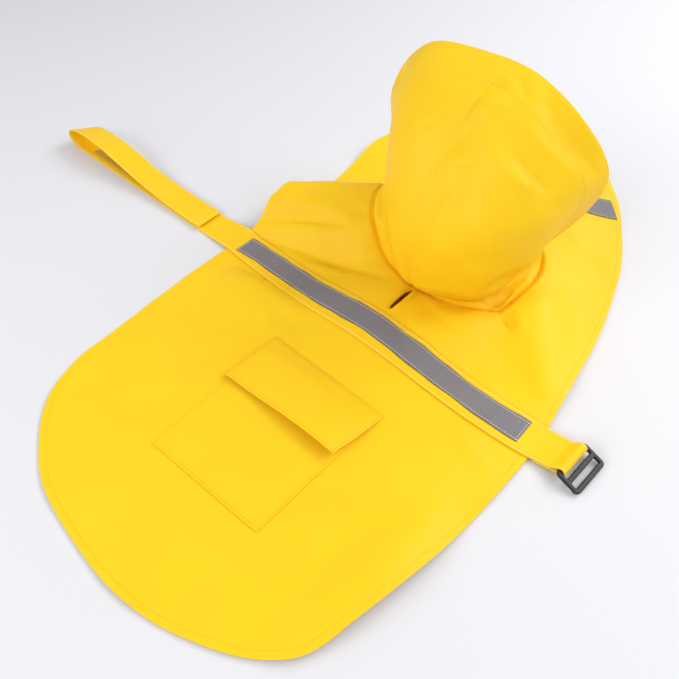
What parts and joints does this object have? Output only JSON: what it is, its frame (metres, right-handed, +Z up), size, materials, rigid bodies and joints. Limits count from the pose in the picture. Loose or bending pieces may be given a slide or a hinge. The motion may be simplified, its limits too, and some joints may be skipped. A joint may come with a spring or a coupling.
{
  "type": "dog raincoat",
  "caption": "Hooded dog raincoat laid out flat: oval body panel with neck opening, upright hood, belly strap with buckle, reflective tapes, pocket with flap.",
  "frame": {"origin": "on the table, on the coat's centre line, under the middle of the pocket", "axes": "+X to the coat's right-hand side, towards the buckle; +Y to the head; +Z up"},
  "size_m": [0.79, 0.762, 0.2375],
  "materials": {
    "coated_cloth": "bright yellow PU-coated polyester with a satin sheen",
    "reflective_tape": "warm grey retro-reflective tape, matt",
    "hook_fastener": "khaki yellow hook-and-loop tape, rough",
    "black_plastic": "moulded, satin"
  },
  "bodies": {
    "root": {"body_panel": "coated_cloth", "hood_left": "coated_cloth", "hood_right": "coated_cloth", "belly_strap": "coated_cloth", "pocket": "coated_cloth", "pocket_flap": "coated_cloth", "belt_tape": "reflective_tape", "chest_tape": "reflective_tape", "hook_patch": "hook_fastener", "buckle": "black_plastic"}
  },
  "joints": []
}
